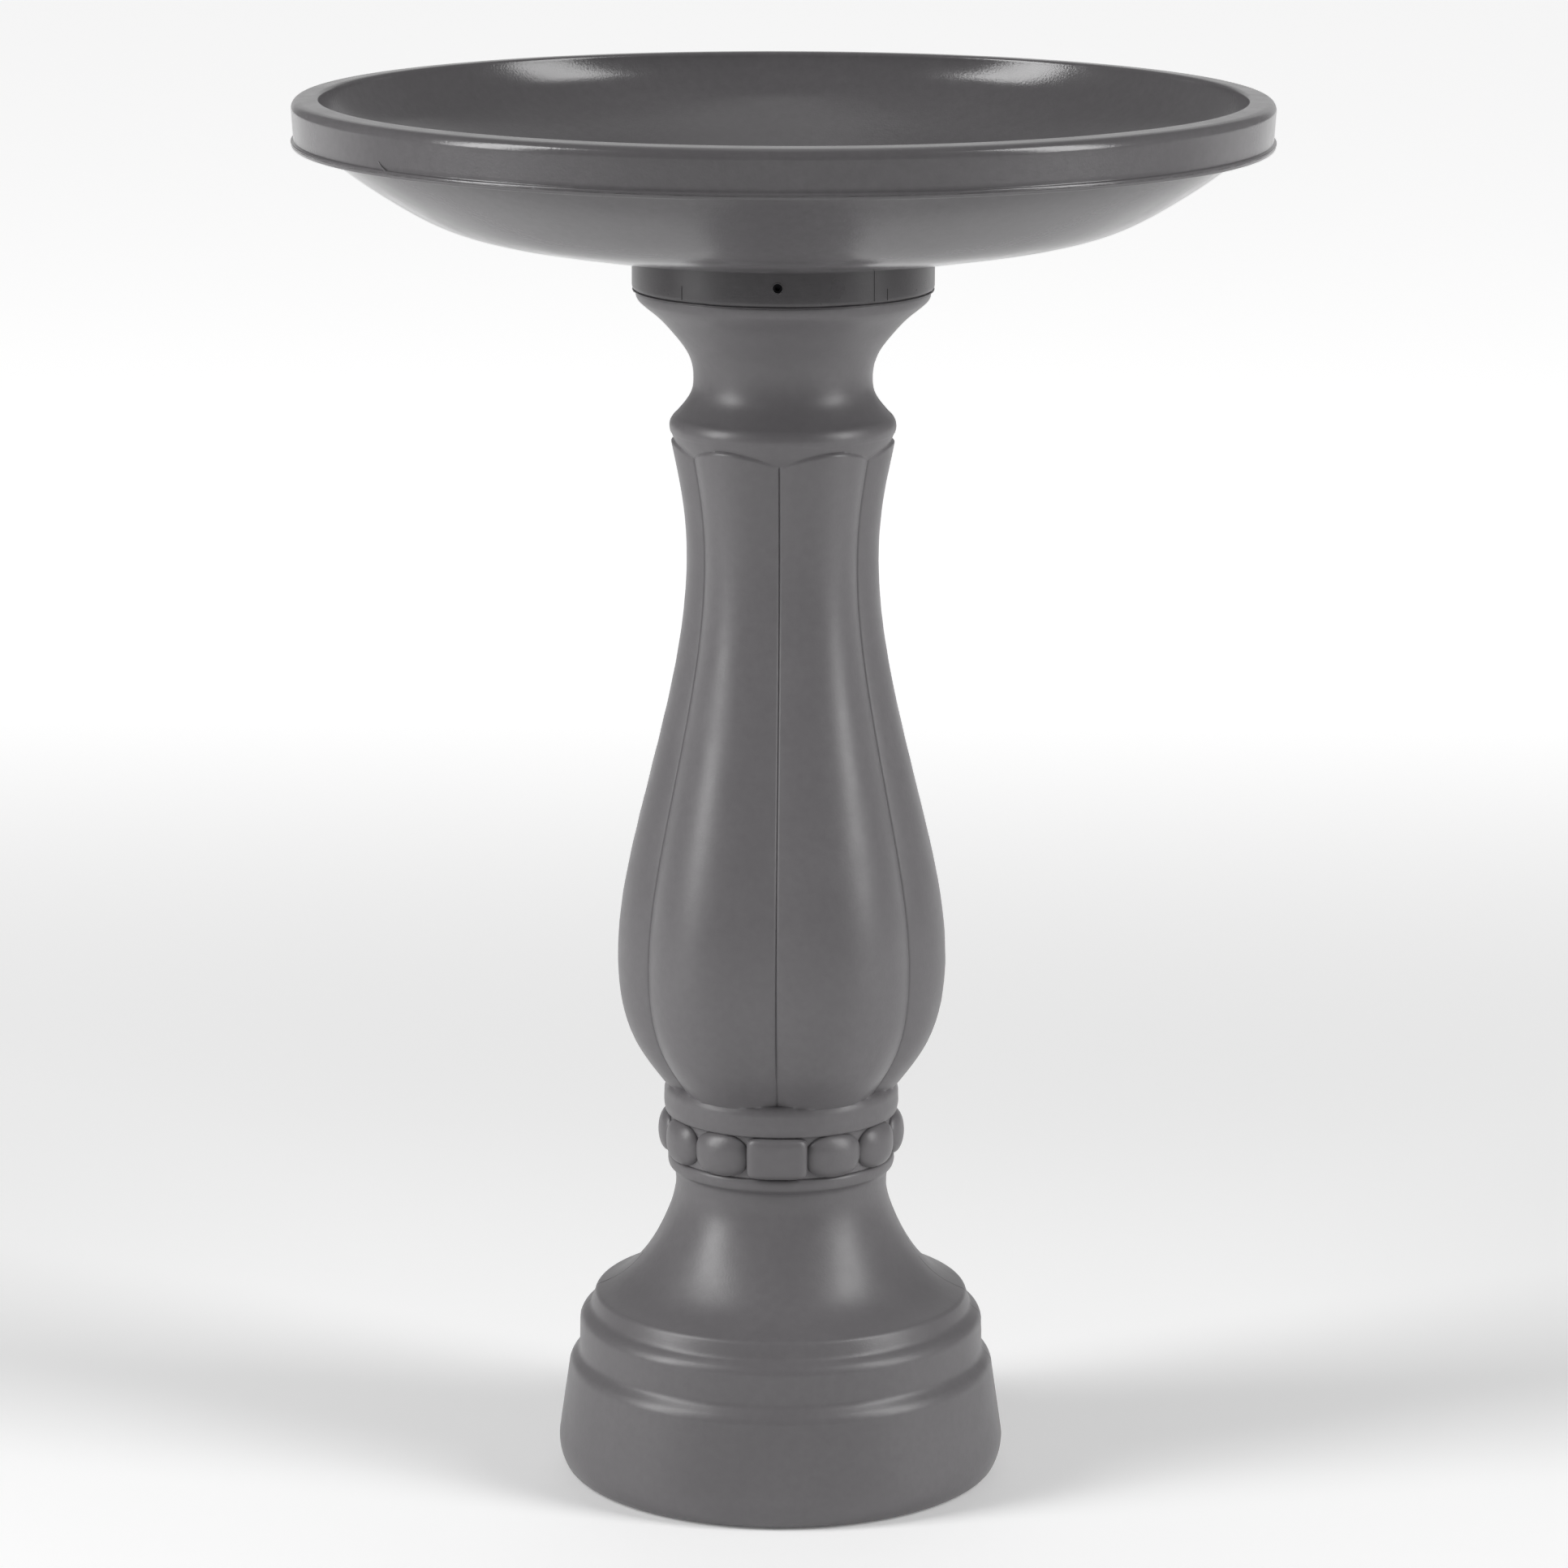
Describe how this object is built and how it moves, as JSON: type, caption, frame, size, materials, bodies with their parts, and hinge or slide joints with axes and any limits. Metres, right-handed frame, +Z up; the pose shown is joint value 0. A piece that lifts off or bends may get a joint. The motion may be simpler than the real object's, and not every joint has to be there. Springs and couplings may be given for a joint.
{
  "type": "bird bath",
  "caption": "Round shallow water basin with a banded rim on a hollow, lobed baluster pedestal with a bead ring and a stepped round foot.",
  "frame": {"origin": "centre of the foot on the ground", "axes": "+Z up the pedestal's axis; -Y is the front, with the basin's visible screw hole"},
  "size_m": [0.43, 0.43, 0.625],
  "materials": {
    "basin_plastic": "semi-gloss moulded warm grey polyethylene",
    "collar_plastic": "satin moulded dark grey polyethylene",
    "pedestal_plastic": "satin blow-moulded warm grey polyethylene with a fine grain",
    "plug_plastic": "satin moulded dark grey polyethylene",
    "seal_rubber": "matte black rubber",
    "black_steel": "black oxide steel"
  },
  "bodies": {
    "pedestal": {"pedestal": "pedestal_plastic"},
    "basin": {"basin_dish": "basin_plastic", "basin_underside": "basin_plastic", "basin_collar": "collar_plastic"},
    "front_screw": {"collar_screw_front": "black_steel"},
    "back_screw": {"collar_screw_back": "black_steel"},
    "plug": {"ballast_plug": "plug_plastic", "plug_seal": "seal_rubber"}
  },
  "joints": [
    {"name": "basin_lift", "type": "slide", "parent": "pedestal", "child": "basin", "axis": [0, 0, 1], "range_m": [0, 0.03]},
    {"name": "front_screw_out", "type": "slide", "parent": "basin", "child": "front_screw", "axis": [0, -1, 0], "range_m": [0, 0.01]},
    {"name": "back_screw_out", "type": "slide", "parent": "basin", "child": "back_screw", "axis": [0, 1, 0], "range_m": [0, 0.01]},
    {"name": "plug_pull", "type": "slide", "parent": "pedestal", "child": "plug", "axis": [0, 0, -1], "range_m": [0, 0.06]}
  ]
}
